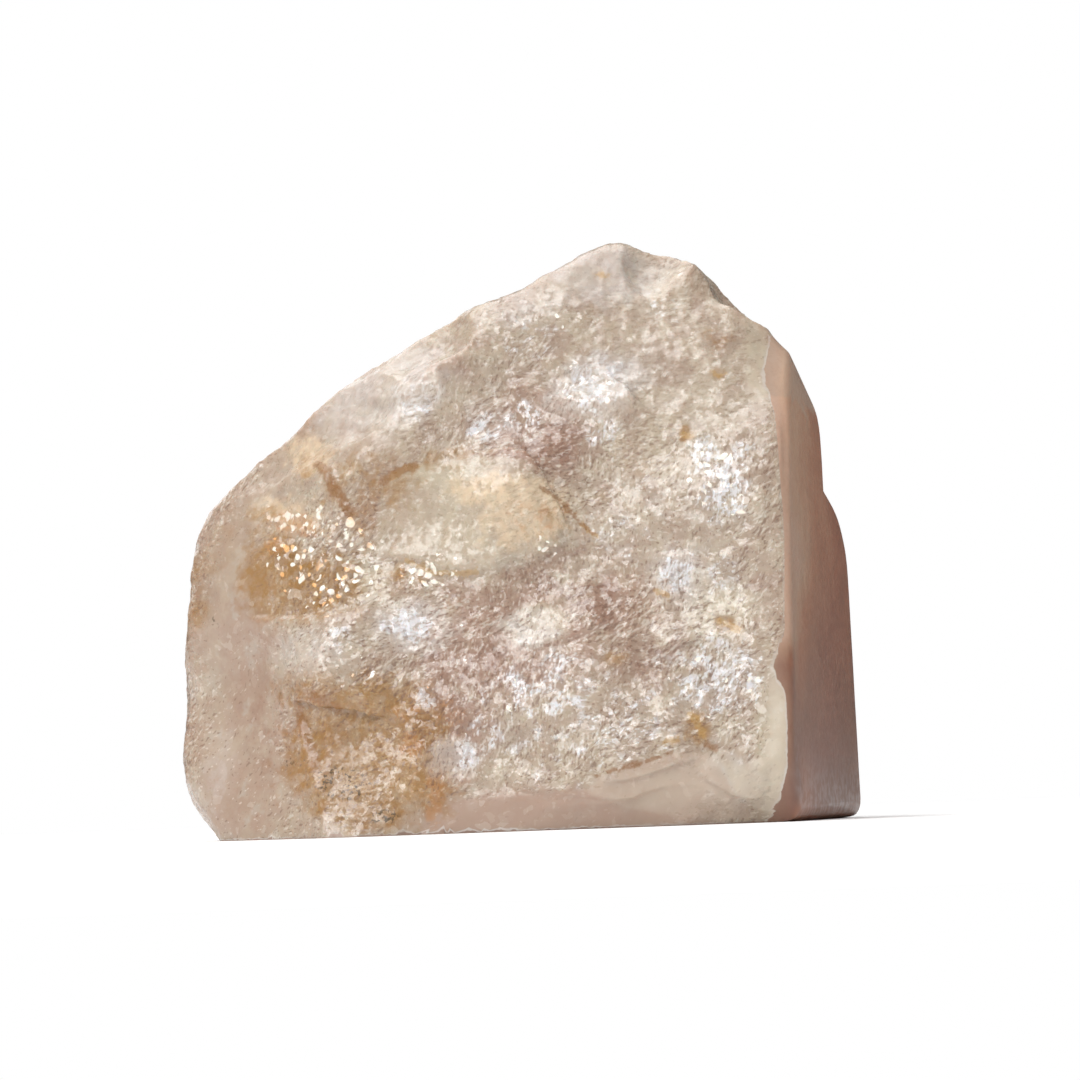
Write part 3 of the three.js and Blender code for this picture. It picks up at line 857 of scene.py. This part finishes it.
# Where each fade starts and ends.
fades = {
    "sawn": (0.42, 0.58), "rim": (0.03, 0.25), "middling": (0.4, 0.62), "ash": (0.55, 0.66),
    "patchy": (0.36, 0.64), "wildFrost": (0.56, 0.68), "wildStain": (0.56, 0.7), "wildPink": (0.4, 0.6),
    "paintedAmberGlint": (0.35, 0.7),
}
# How much of a thing is laid on where its share is whole.
amounts = {
    "mauveClouds": 0.3, "mauveShards": 0.28, "creamClouds": 0.4, "creamChips": 0.25, "veil": 0.6,
    "ash": 0.5, "rosyAndShade": 0.42, "cream": 0.8, "leaf": 0.3, "rimLobe": 0.5, "footStrip": 0.7, "shell": 0.75,
    "rust": 0.4, "frostSilverAndSheen": 0.08, "hollow": 0.16, "amber": 0.45, "umberAndShadow": 0.65, "grit": 0.85,
    "sawnTop": 0.75, "blush": 0.1, "bevelShade": 0.48, "wildPearl": 0.7, "stainedHighlight": 0.8,
    "apricotHighlight": 0.5, "patchyHighlights": 0.2, "pearlHighlights": 0.1, "shardShade": 0.16, "paintedGlints": 0.75,
    "grainLean": 0.6, "leastLean": 0.28,
}
# What follows a share in a straight line: what the whole share adds, and what is there without it.
follows = {
    "sawnTear": (0.5, -0.25), "lively": (-0.8, 1), "wildPink": (0.55, 0.15), "pink": (0.3, 0.5),
    "apricot": (0.3, 0.35), "ochre": (0.35, 0.55), "rugged": (-0.7, 1), "pearl": (0.4, 0.3),
    "litFlankShare": (0.14, 0.26), "shadedFlankShare": (0.1, 0.27), "softened": (-0.82, 1), "leafCalm": (-0.15, 1),
    "paintedShadeDepth": (-0.35, 0.68), "paintedHighlightDepth": (0.35, 0.38), "flakes": (0.2, 0.02),
    "flakeDepth": (0.4, 0.55), "flakeTone": (0.6, 0.4), "sparkSize": (0.8, 0.5), "wander": (0.16, -0.08),
    "streaks": (0.06, -0.03), "rim": (0.8, 0.1), "roughness": (0.14, 0.2),
}
# What each adds to the roughness, and how a broken face's wrinkles get their direction.
roughnessGains = {"calm": 0.15, "sawn": 0.1, "glitter": -0.1}
direction = {"shardShare": 0.4, "chosen": 0.6, "level": 0.5}
polish = {
    "IOR": 1.54,
    "Specular IOR Level": 0.6,
    "Subsurface Weight": 0.35,
    "Subsurface Radius": (1.0, 0.6, 0.5),
    "Subsurface Scale": 4 * mm,
}


def newGroup(name, inputs, outputs):
    group = bpy.data.node_groups.new(name, "ShaderNodeTree")
    for socketName, value in inputs.items():
        kind = "NodeSocketVector" if value is None else "NodeSocketFloat"
        socket = group.interface.new_socket(socketName, in_out="INPUT", socket_type=kind)
        if value is not None:
            socket.default_value = value
    for socketName in outputs:
        kind = "NodeSocketVector" if socketName == "Normal" else "NodeSocketFloat"
        group.interface.new_socket(socketName, in_out="OUTPUT", socket_type=kind)
    return group, group.nodes.new("NodeGroupInput").outputs, group.nodes.new("NodeGroupOutput").inputs


def splitNode(tree, vector):
    made = tree.nodes.new("ShaderNodeSeparateXYZ")
    tree.links.new(vector, made.inputs[0])
    return made.outputs


def following(tree, name, share):
    gain, start = follows[name]
    return mathNode(tree, "MULTIPLY_ADD", share, gain, start)


# a smooth share becomes a patch with a torn edge
def tornEdgeGroup():
    inputs = {"Tear Noise": 0.5, "Share": 0.0, "Tear": 0.8}
    group, given, result = newGroup("tornEdge", inputs, ["Mask"])
    centred = mathNode(group, "SUBTRACT", given["Tear Noise"], 0.5)
    torn = mathNode(group, "ADD", given["Share"], mathNode(group, "MULTIPLY", centred, given["Tear"]))
    inside = mathNode(group, "LESS_THAN", crystal["leastShare"], given["Share"])
    mask = mathNode(group, "MULTIPLY", softStep(group, torn, *crystal["tearEdge"]), inside)
    group.links.new(mask, result["Mask"])
    return group


# a crumple stretched along one direction, split into its lit and its shaded flanks, which are painted into
# the colour as highlight and shade; the shares say how much of the skin each takes
def crystalWrinklesGroup():
    inputs = {"Vector": None, "Angle": 0.0, "Scale": 800.0, "Detail": 1.5,
              "Painted Highlight Share": 0.3, "Painted Shade Share": 0.3}
    group, given, result = newGroup("crystalWrinkles", inputs, ["Painted Highlight", "Painted Shade"])
    heights = []
    for shift in ((0, 0, 0), crystal["lightShift"]):
        turn = group.nodes.new("ShaderNodeVectorRotate")
        turn.rotation_type = "Y_AXIS"
        stretch = group.nodes.new("ShaderNodeMapping")
        stretch.inputs["Scale"].default_value = (1, 1, crystal["stretch"])
        joinNodes(
            group,
            (vectorNode(group, "ADD", given["Vector"], shift), turn.inputs["Vector"]),
            (given["Angle"], turn.inputs["Angle"]),
            (turn.outputs[0], stretch.inputs["Vector"]),
        )
        noise = {"scale": given["Scale"], "detail": given["Detail"], "roughness": crystal["wrinkleRoughness"]}
        heights.append(noiseNode(group, stretch.outputs[0], **noise)[0])
    slope = mathNode(group, "SUBTRACT", *heights)
    for name, gain in (("Painted Highlight", crystal["contrast"]), ("Painted Shade", -crystal["contrast"])):
        low = mathNode(group, "MULTIPLY_ADD", given[name + " Share"], *crystal["flank"])
        high = mathNode(group, "ADD", low, crystal["softness"])
        flank = softStep(group, mathNode(group, "MULTIPLY", slope, gain), low, high)
        group.links.new(flank, result[name])
    return group


# little crystal faces, each leaning its own way and with a tone of its own
def crystalFacesGroup():
    inputs = {"Vector": None, "Scale": 1200.0, "Warp": 1.0, "Lean": 0.5}
    group, given, result = newGroup("crystalFaces", inputs, ["Normal", "Tone", "Tint"])
    slow = mathNode(group, "MULTIPLY", given["Scale"], crystal["faceDrift"])
    push = mathNode(group, "DIVIDE", given["Warp"], given["Scale"])
    warped = pushedPlace(group, given["Vector"], slow, 2, push)
    cells = voronoiNode(group, warped, given["Scale"])
    lean = vectorNode(group, "SUBTRACT", cells["Color"], (0.5, 0.5, 0.5))
    leaning = vectorNode(group, "SCALE", lean, scale=given["Lean"])
    normal = group.nodes.new("ShaderNodeNewGeometry").outputs["Normal"]
    tilted = vectorNode(group, "NORMALIZE", vectorNode(group, "ADD", normal, leaning))
    split = splitNode(group, cells["Color"])
    joinNodes(group, (tilted, result["Normal"]), (split[0], result["Tone"]), (split[1], result["Tint"]))
    return group


# hard-edged flakes: the share says how many of the cells are flakes
def crystalFlakesGroup():
    inputs = {"Vector": None, "Scale": 1200.0, "Warp": 1.0, "Share": 0.5}
    group, given, result = newGroup("crystalFlakes", inputs, ["Flake"])
    slow = mathNode(group, "MULTIPLY", given["Scale"], crystal["flakeDrift"])
    push = mathNode(group, "DIVIDE", given["Warp"], given["Scale"])
    warped = pushedPlace(group, given["Vector"], slow, 1, push)
    split = splitNode(group, voronoiNode(group, warped, given["Scale"])["Color"])
    chosen = mathNode(group, "SUBTRACT", given["Share"], split[0])
    edge = softStep(group, chosen, *crystal["flakeEdge"])
    flake = mathNode(group, "MULTIPLY", edge, following(group, "flakeTone", split[1]))
    group.links.new(flake, result["Flake"])
    return group


# round glints painted into the colour: the share says how many of the cells glint
def crystalSparksGroup():
    inputs = {"Vector": None, "Scale": 700.0, "Size": 0.3, "Share": 0.3}
    group, given, result = newGroup("paintedGlintSpots", inputs, ["Spark", "Tone"])
    cells = voronoiNode(group, given["Vector"], given["Scale"])
    split = splitNode(group, cells["Color"])
    size = mathNode(group, "MULTIPLY", given["Size"], following(group, "sparkSize", split[1]))
    near = mathNode(group, "SUBTRACT", 1, mathNode(group, "DIVIDE", cells["Distance"], size))
    spot = mathNode(group, "MULTIPLY", mathNode(group, "MAXIMUM", near, 0), crystal["sparkEdge"])
    spot = mathNode(group, "MINIMUM", spot, 1)
    chosen = mathNode(group, "LESS_THAN", split[0], given["Share"])
    joinNodes(group, (mathNode(group, "MULTIPLY", spot, chosen), result["Spark"]), (split[2], result["Tone"]))
    return group


def makeQuartz():
    material = bpy.data.materials.new("roseQuartz")
    material.use_nodes = True
    tree = material.node_tree
    shader = tree.nodes["Principled BSDF"]
    place = tree.nodes.new("ShaderNodeTexCoord").outputs["Object"]
    groups = {"torn": tornEdgeGroup(), "wrinkles": crystalWrinklesGroup(), "faces": crystalFacesGroup(),
              "flakes": crystalFlakesGroup(), "paintedGlints": crystalSparksGroup()}

    def useGroup(name, **values):
        made = tree.nodes.new("ShaderNodeGroup")
        made.node_tree = groups[name]
        for key, value in values.items():
            feed(tree, made.inputs[key], value)
        return made.outputs

    def cells(group, name, vector, **values):
        size, warp = crystal[name]
        return useGroup(group, Vector=vector, Scale=1 / size, Warp=warp, **values)

    def share(name):
        made = tree.nodes.new("ShaderNodeAttribute")
        made.attribute_name = name
        return made.outputs["Fac"]

    def patch(name):
        noise = fineTear if name in finelyTorn else tearNoise
        return useGroup("torn", **{"Tear Noise": noise, "Share": share(name), "Tear": tears[name]})["Mask"]

    def spread(name, value):
        return softStep(tree, value, *fades[name])

    def cloudNoise(vector, size, detail):
        return noiseNode(tree, vector, 1 / (size * mm), detail, cloudRoughness)[0]

    def cloud(name, vector=place):
        size, detail, low, high = clouds[name]
        return softStep(tree, cloudNoise(vector, size, detail), low, high)

    def follow(name, value):
        return following(tree, name, value)

    def times(first, second):
        return mathNode(tree, "MULTIPLY", first, second)

    def plus(first, second):
        return mathNode(tree, "ADD", first, second)

    def larger(first, second):
        return mathNode(tree, "MAXIMUM", first, second)

    def rest(value):
        return mathNode(tree, "SUBTRACT", 1, value)

    def blend(under, over, amount):
        made = tree.nodes.new("ShaderNodeMix")
        made.data_type = "RGBA"
        made.clamp_factor = True
        for socket, value in ((made.inputs[6], under), (made.inputs[7], over), (made.inputs[0], amount)):
            feed(tree, socket, (*value, 1) if isinstance(value, tuple) else value)
        return made.outputs[2]

    # one of the stone's colours laid over another as far as the share goes
    def lay(under, name, amount, part=None):
        return blend(under, quartz[name], times(amount, amounts[part or name]))

    # where each thing is, and the noises that several of them share
    drifted = pushedPlace(tree, place, *crystal["driftNoise"], crystal["drift"])
    elsewhere = vectorNode(tree, "ADD", place, crystal["elsewhere"])
    tearNoise = noiseNode(tree, place, *crystal["tearNoise"])[0]
    fineTear = noiseNode(tree, elsewhere, *crystal["fineTearNoise"])[0]
    calm = share("calm")
    sawn = spread("sawn", plus(share("sawn"), follow("sawnTear", fineTear)))
    hidden = rest(share("front"))
    broken = rest(sawn)
    lively = times(broken, follow("lively", calm))
    wild = cloudNoise(elsewhere, *wildCloud)
    mottle = cloudNoise(elsewhere, *mottleCloud)
    wildFrost = times(hidden, spread("wildFrost", rest(wild)))
    frost = larger(patch("frost"), wildFrost)
    glitter = patch("glitter")
    rosyAndShade = patch("rosyAndShade")
    apricot = patch("apricot")
    ochre = larger(patch("ochre"), times(hidden, spread("wildStain", wild)))
    pink = larger(patch("pink"), times(hidden, follow("wildPink", spread("wildPink", wild))))
    area = {name: patch(name) for name in areas}
    flat = larger(larger(area["rimLobe"], area["shell"]), area["footStrip"])
    rugged = follow("rugged", flat)
    pearl = times(plus(patch("pearl"), times(wildFrost, amounts["wildPearl"])), rugged)

    # the stone's colour, in clouds and in broken faces of two sizes, with painted shadow under the leaf's
    # lower edge
    flecks = cloud("flecks")
    shards = cells("faces", "shard", drifted, Lean=0.0)
    chips = cells("faces", "chip", drifted, Lean=0.0)
    mauve = plus(times(cloud("wide"), amounts["mauveClouds"]), times(shards["Tone"], amounts["mauveShards"]))
    creamy = times(spread("middling", mottle), amounts["creamClouds"])
    creamy = plus(creamy, times(chips["Tint"], amounts["creamChips"]))
    color = blend(quartz["pale"], quartz["mauve"], mauve)
    color = blend(color, quartz["cream"], times(creamy, broken))
    color = blend(color, quartz["pink"], times(pink, follow("pink", flecks)))
    color = lay(color, "veil", calm)
    color = lay(color, "ash", times(calm, spread("ash", mottle)))
    # deeper pink, and painted shadow under the leaf's lower edge
    color = lay(color, "rosyAndShade", rosyAndShade)
    color = lay(color, "cream", patch("cream"))
    for name in ("leaf", "rimLobe", "footStrip", "shell"):
        color = lay(color, name, area[name])
    color = blend(color, quartz["apricot"], times(apricot, follow("apricot", flecks)))
    color = blend(color, quartz["ochre"], times(ochre, follow("ochre", flecks)))
    color = lay(color, "rust", patch("rust"))
    color = blend(color, quartz["pearl"], times(pearl, follow("pearl", chips["Tone"])))
    color = lay(color, "frostSilverAndSheen", frost)
    # small broken faces darkened at random towards the crease shade colour
    color = lay(color, "hollow", times(chips["Tone"], lively))

    # fine crumple, its wrinkles running their own way on each broken face; its lit flanks are painted
    # highlight and its shaded flanks painted shade
    turning = times(shards["Tone"], direction["shardShare"])
    upright = mathNode(tree, "GREATER_THAN", plus(share("upright"), turning), direction["chosen"])
    level = mathNode(tree, "GREATER_THAN", plus(share("level"), turning), direction["chosen"])
    free = times(rest(upright), rest(level))
    angle = times(plus(times(free, shards["Tint"]), times(level, direction["level"])), math.pi)
    litFlankShare = plus(times(spread("patchy", mottle), amounts["patchyHighlights"]), follow("litFlankShare", frost))
    litFlankShare = times(lively, plus(litFlankShare, times(pearl, amounts["pearlHighlights"])))
    shadedFlankShare = plus(times(shards["Tone"], amounts["shardShade"]), follow("shadedFlankShare", rosyAndShade))
    skin = {"Angle": angle, "Painted Highlight Share": litFlankShare, "Painted Shade Share": times(lively, shadedFlankShare)}
    size, detail = crystal["wrinkle"]
    fine = useGroup("wrinkles", Vector=drifted, Scale=1 / size, Detail=detail, **skin)
    size, detail = crystal["fineWrinkle"]
    finer = useGroup("wrinkles", Vector=elsewhere, Scale=1 / size, Detail=detail, **skin)
    litFlank = larger(fine["Painted Highlight"], times(finer["Painted Highlight"], crystal["fineGain"]))
    shadedFlank = larger(fine["Painted Shade"], times(finer["Painted Shade"], crystal["fineGain"]))
    vivid = times(follow("softened", share("soft")), follow("leafCalm", area["leaf"]))
    vivid = times(vivid, rugged)
    # the painted highlight colour: warm white, silver on frost, tinted where stained
    litFlankColor = blend(quartz["warmHighlight"], quartz["frostSilverAndSheen"], frost)
    litFlankColor = lay(litFlankColor, "stainedHighlight", ochre)
    litFlankColor = lay(litFlankColor, "apricot", apricot, "apricotHighlight")
    depth = follow("paintedShadeDepth", area["leaf"])
    # painted shade on the shaded flanks, then painted highlight on the lit flanks
    color = blend(color, quartz["hollow"], times(times(shadedFlank, vivid), depth))
    color = blend(color, litFlankColor, times(times(litFlank, vivid), follow("paintedHighlightDepth", frost)))

    # frosted flakes, painted brightest on the lit flanks as glints, amber and dark marks (one a painted
    # shadow line under a ledge), painted round glints, and grit
    many = times(follow("flakes", frost), times(lively, vivid))
    large = cells("flakes", "flake", drifted, Share=many)["Flake"]
    small = cells("flakes", "smallFlake", elsewhere, Share=many)["Flake"]
    flake = times(larger(large, small), follow("flakeDepth", litFlank))
    color = blend(color, blend(quartz["warmHighlight"], quartz["frostSilverAndSheen"], frost), flake)
    color = lay(color, "amber", patch("amber"))
    # brown stain lines, with the painted shadow line under the ledge
    color = lay(color, "umberAndShadow", patch("mark"))
    jittered = pushedPlace(tree, place, *crystal["jitterNoise"], crystal["jitter"], drifted)
    # painted glints, white or amber where stained
    paintedGlints = useGroup("paintedGlints", Vector=jittered, Scale=1 / crystal["paintedGlint"], Size=crystal["sparkSize"],
                      Share=times(glitter, amounts["paintedGlints"]))
    glintTone = times(spread("paintedAmberGlint", paintedGlints["Tone"]), ochre)
    glintColor = blend(quartz["paintedGlint"], quartz["paintedAmberGlint"], glintTone)
    color = blend(color, glintColor, times(paintedGlints["Spark"], lively))
    color = lay(color, "grit", times(patch("grit"), cloud("speckle")))

    # the polished saw cuts, darker away from the front
    along = tree.nodes.new("ShaderNodeMapping")
    along.inputs["Scale"].default_value = (1, 1, crystal["sawStreak"])
    tree.links.new(place, along.inputs["Vector"])
    wander = plus(follow("wander", cloud("wander")), follow("streaks", cloud("streaks", along.outputs[0])))
    bands = tree.nodes.new("ShaderNodeValToRGB")
    ramp = bands.color_ramp
    for position, _ in quartz["sawnBands"][1:-1]:
        ramp.elements.new(position)
    for element, (position, tone) in zip(ramp.elements, quartz["sawnBands"]):
        element.position = position
        element.color = (*tone, 1)
    tree.links.new(plus(share("inward"), wander), bands.inputs[0])
    sawnColor = lay(bands.outputs[0], "sawnTop", patch("sawnTop"))
    sawnColor = lay(sawnColor, "rosyAndShade", cloud("blush", elsewhere), "blush")
    sawnColor = lay(sawnColor, "bevelShade", share("bevel"))
    rim = times(spread("rim", share("sawn")), rest(sawn))
    color = blend(color, quartz["pearl"], times(rim, follow("rim", calm)))
    color = blend(color, sawnColor, sawn)

    # gloss, and little faces that each catch the light their own way
    rough = follow("roughness", flecks)
    for value, gain in zip((calm, sawn, glitter), roughnessGains.values()):
        rough = mathNode(tree, "MULTIPLY_ADD", value, gain, rough)

    restless = times(lively, vivid)
    lean = plus(times(larger(glitter, frost), amounts["grainLean"]), amounts["leastLean"])
    faces = cells("faces", "face", drifted, Lean=times(restless, lean))
    bump = tree.nodes.new("ShaderNodeBump")
    bump.inputs["Distance"].default_value = crystal["bumpDepth"]
    joinNodes(
        tree,
        (restless, bump.inputs["Strength"]),
        (noiseNode(tree, place, *crystal["bumpNoise"])[0], bump.inputs["Height"]),
        (faces["Normal"], bump.inputs["Normal"]),
        (color, shader.inputs["Base Color"]),
        (rough, shader.inputs["Roughness"]),
        (bump.outputs[0], shader.inputs["Normal"]),
    )
    for name, value in polish.items():
        shader.inputs[name].default_value = value
    return material


# Floor, light and camera. A light is its place, its size and its strength.
studio = {
    "floorSize": 1.2,
    "floorColor": (0.93, 0.93, 0.93, 1),
    "ambient": 0.15,
    "daylight": ((-0.15, 0.1, 1.0), 60, 2.3),
    "key": ((-0.4, -0.8, 0.8), 0.8, 10.0),
    "back": ((-0.5, 0.9, 0.5), 0.7, 2.0),
    "aim": (0, 0, 0.035),
}
view = {
    "place": (2.635, -421.671, 3.0),
    "level": 38.7,
    "plane": -21.643,
    "roll": 2.05,
    "lens": 100,
    "sensor": 36,
}


def aimAt(thing, target, roll=0.0):
    way = Vector(target) - thing.location
    thing.rotation_euler = way.to_track_quat("-Z", "Y").to_euler()
    thing.rotation_euler.rotate_axis("Z", math.radians(-roll))


def makeLight(name, kind):
    place, size, strength = studio[name]
    light = bpy.data.lights.new(name, kind)
    light.energy = strength
    if kind == "SUN":
        light.angle = math.radians(size)
    else:
        light.shape = "DISK"
        light.size = size
    lamp = addObject(name, light)
    lamp.location = place
    aimAt(lamp, studio["aim"])


def makeFloor():
    half = studio["floorSize"] / 2
    mesh = bpy.data.meshes.new("floor")
    corners = [(-half, -half, 0), (half, -half, 0), (half, half, 0), (-half, half, 0)]
    mesh.from_pydata(corners, [], [(0, 1, 2, 3)])
    paper = bpy.data.materials.new("whitePaper")
    paper.use_nodes = True
    finish = paper.node_tree.nodes["Principled BSDF"].inputs
    finish["Base Color"].default_value = studio["floorColor"]
    finish["Roughness"].default_value = 1
    finish["Specular IOR Level"].default_value = 0
    mesh.materials.append(paper)
    addObject("floor", mesh)


# the camera sees the world white, and the stone is lit by it only faintly
def makeWorld():
    world = bpy.data.worlds.new("softWhite")
    world.use_nodes = True
    tree = world.node_tree
    sky = tree.nodes["Background"].inputs
    sky["Color"].default_value = (1, 1, 1, 1)
    seen = tree.nodes.new("ShaderNodeLightPath").outputs["Is Camera Ray"]
    strength = tree.nodes.new("ShaderNodeMapRange")
    strength.inputs["To Min"].default_value = studio["ambient"]
    strength.inputs["To Max"].default_value = 1.0
    joinNodes(tree, (seen, strength.inputs["Value"]), (strength.outputs[0], sky["Strength"]))
    bpy.context.scene.world = world
    bpy.context.scene.view_settings.view_transform = "Standard"


def makeCamera():
    lens = bpy.data.cameras.new("camera")
    lens.lens = view["lens"]
    lens.sensor_width = view["sensor"]
    camera = addObject("camera", lens)
    camera.location = Vector(view["place"]) * mm
    aimAt(camera, Vector((view["place"][0], view["plane"], view["level"])) * mm, view["roll"])
    bpy.context.scene.camera = camera


makeFloor()
for name, kind in (("key", "AREA"), ("back", "AREA"), ("daylight", "SUN")):
    makeLight(name, kind)
makeWorld()
makeCamera()
print("studio and camera made")
stone = buildStoneMesh()
print("stone formed:", len(stone.data.polygons), "quads")
finishStone(stone, makeQuartz())
print("broken skin made:", len(stone.data.polygons), "faces")
paintShares(stone)
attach(stone, "root")
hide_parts("rose_quartz_chunk")
print("stone painted")
